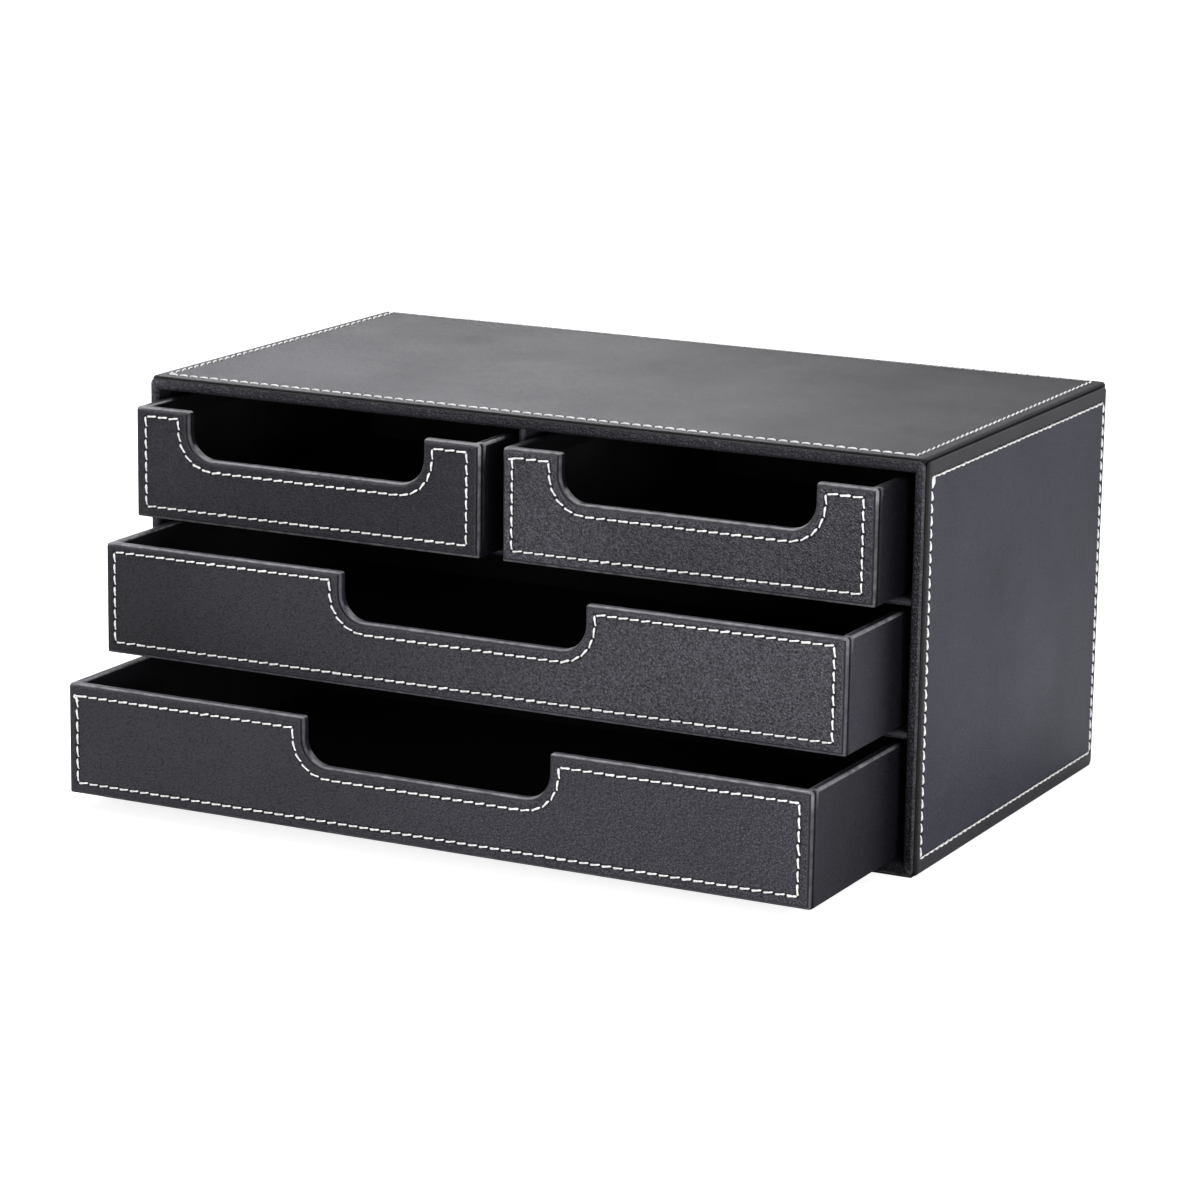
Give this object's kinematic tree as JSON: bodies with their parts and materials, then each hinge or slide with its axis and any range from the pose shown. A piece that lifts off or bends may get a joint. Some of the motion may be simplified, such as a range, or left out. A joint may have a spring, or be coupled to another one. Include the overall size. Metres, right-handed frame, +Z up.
{
  "type": "desktop mini drawers",
  "caption": "Low desktop drawer case in stitched black leather over board, with small drawers side by side over wide ones, each front with a finger notch.",
  "frame": {"origin": "centre of the case's footprint, on the surface that it stands on", "axes": "+X to the right seen from the front, -Y out of the front, the way the drawers pull, +Z up"},
  "size_m": [0.335, 0.2643, 0.16],
  "materials": {
    "leather_panel": "fine-grained black imitation leather, semi-matt, turned hems sewn with white thread",
    "leather_wrap": "smooth black imitation leather, satin",
    "flock": "black flock paper, matt",
    "board": "dark grey fibreboard, covered all over",
    "felt": "thin black felt"
  },
  "bodies": {
    "case": {"case_top_board": "board", "case_bottom_board": "board", "case_left_board": "board", "case_right_board": "board", "case_back_board": "board", "upper_shelf": "board", "lower_shelf": "board", "centre_divider": "board", "top_cover": "leather_panel", "left_cover": "leather_panel", "right_cover": "leather_panel", "back_cover": "leather_panel", "top_binding": "leather_wrap", "bottom_binding": "leather_wrap", "left_binding": "leather_wrap", "right_binding": "leather_wrap", "case_lining": "flock", "upper_shelf_wrap": "leather_wrap", "lower_shelf_wrap": "leather_wrap", "divider_wrap": "leather_wrap", "base_felt": "felt"},
    "top_left_drawer": {"top_left_front_board": "board", "top_left_front_panel": "leather_panel", "top_left_left_side": "board", "top_left_right_side": "board", "top_left_rear_wall": "board", "top_left_floor_board": "board", "top_left_wrap": "leather_wrap", "top_left_lining": "flock", "top_left_base_sheet": "felt"},
    "top_right_drawer": {"top_right_front_board": "board", "top_right_front_panel": "leather_panel", "top_right_left_side": "board", "top_right_right_side": "board", "top_right_rear_wall": "board", "top_right_floor_board": "board", "top_right_wrap": "leather_wrap", "top_right_lining": "flock", "top_right_base_sheet": "felt"},
    "middle_drawer": {"middle_front_board": "board", "middle_front_panel": "leather_panel", "middle_left_side": "board", "middle_right_side": "board", "middle_rear_wall": "board", "middle_floor_board": "board", "middle_wrap": "leather_wrap", "middle_lining": "flock", "middle_base_sheet": "felt"},
    "bottom_drawer": {"bottom_front_board": "board", "bottom_front_panel": "leather_panel", "bottom_left_side": "board", "bottom_right_side": "board", "bottom_rear_wall": "board", "bottom_floor_board": "board", "bottom_wrap": "leather_wrap", "bottom_lining": "flock", "bottom_base_sheet": "felt"}
  },
  "joints": [
    {"name": "top_left_slide", "type": "slide", "parent": "case", "child": "top_left_drawer", "axis": [0, -1, 0], "range_m": [-0.0245, 0.1255]},
    {"name": "top_right_slide", "type": "slide", "parent": "case", "child": "top_right_drawer", "axis": [0, -1, 0], "range_m": [-0.0236, 0.1264]},
    {"name": "middle_slide", "type": "slide", "parent": "case", "child": "middle_drawer", "axis": [0, -1, 0], "range_m": [-0.0469, 0.1031]},
    {"name": "bottom_slide", "type": "slide", "parent": "case", "child": "bottom_drawer", "axis": [0, -1, 0], "range_m": [-0.0743, 0.0757]}
  ]
}
